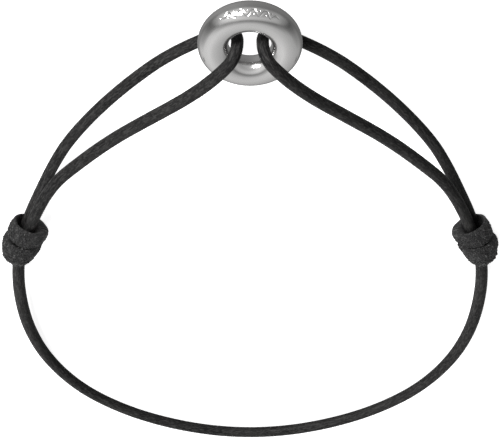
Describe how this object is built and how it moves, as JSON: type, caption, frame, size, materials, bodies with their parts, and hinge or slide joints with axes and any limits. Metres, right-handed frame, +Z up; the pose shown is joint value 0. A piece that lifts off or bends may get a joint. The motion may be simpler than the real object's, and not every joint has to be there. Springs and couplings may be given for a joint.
{
  "type": "adjustable cord bracelet",
  "caption": "Adjustable bracelet: a round leather cord looped twice through a polished metal ring and closed by two sliding knots.",
  "frame": {"origin": "middle of the object's box, on the surface that the bracelet lies on", "axes": "+Z up from that surface, +Y from the ring towards the far strand, +X towards the left half"},
  "size_m": [0.0656, 0.0866, 0.0069],
  "materials": {
    "cord_leather": "smooth satin",
    "knot_leather": "pebbled, pressed tight",
    "ring_steel": "polished"
  },
  "bodies": {
    "cord": {"far_strand": "cord_leather", "left_lower_strand": "cord_leather", "left_bight": "cord_leather", "left_upper_strand": "cord_leather", "right_lower_strand": "cord_leather", "right_bight": "cord_leather", "right_upper_strand": "cord_leather"},
    "ring": {"ring": "ring_steel"},
    "left_knot": {"left_knot_mouth_turn": "knot_leather", "left_knot_main_turn": "knot_leather", "left_knot_tucked_end": "knot_leather"},
    "right_knot": {"right_knot_mouth_turn": "knot_leather", "right_knot_main_turn": "knot_leather", "right_knot_tucked_end": "knot_leather"}
  },
  "joints": [
    {"name": "ring_turn", "type": "hinge", "parent": "cord", "child": "ring", "pos_m": [0, -0.03707, 0.00345], "axis": [0, 0, 1], "continuous": true},
    {"name": "left_knot_slide", "type": "hinge", "parent": "cord", "child": "left_knot", "pos_m": [-0.011, 0.0092, 0.00245], "axis": [0, 0, 1], "range_deg": [-2.5, 6]},
    {"name": "right_knot_slide", "type": "hinge", "parent": "cord", "child": "right_knot", "pos_m": [0.011, 0.0092, 0.00245], "axis": [0, 0, -1], "range_deg": [-2.5, 6]}
  ]
}
